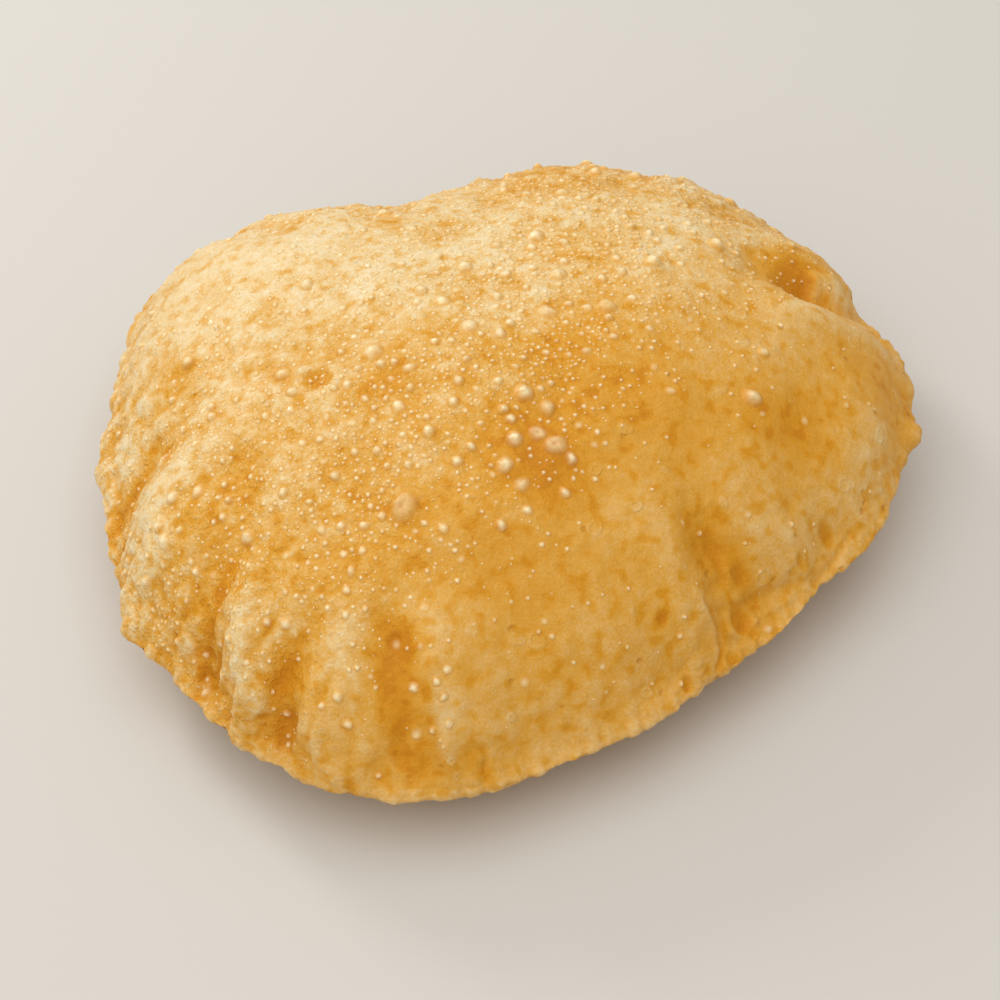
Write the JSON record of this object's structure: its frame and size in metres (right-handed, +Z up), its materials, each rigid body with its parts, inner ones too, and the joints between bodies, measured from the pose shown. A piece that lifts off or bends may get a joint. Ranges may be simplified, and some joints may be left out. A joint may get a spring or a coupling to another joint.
{
  "type": "bhatura",
  "caption": "Puffed round of deep-fried leavened flatbread: a closed golden pillow with a crimped seam, soft folds and pleats, resting on a small flat spot",
  "frame": {"origin": "On the surface that the bread lies on, under the middle of its outline seen from above", "axes": "+Z up from the flat spot to the crown, +X along the longest way across, -Y towards the pleated front edge"},
  "size_m": [0.2174, 0.2008, 0.0701],
  "materials": {
    "fried_dough": "matte golden fried crust"
  },
  "bodies": {
    "root": {"bhatura": "fried_dough"}
  },
  "joints": []
}
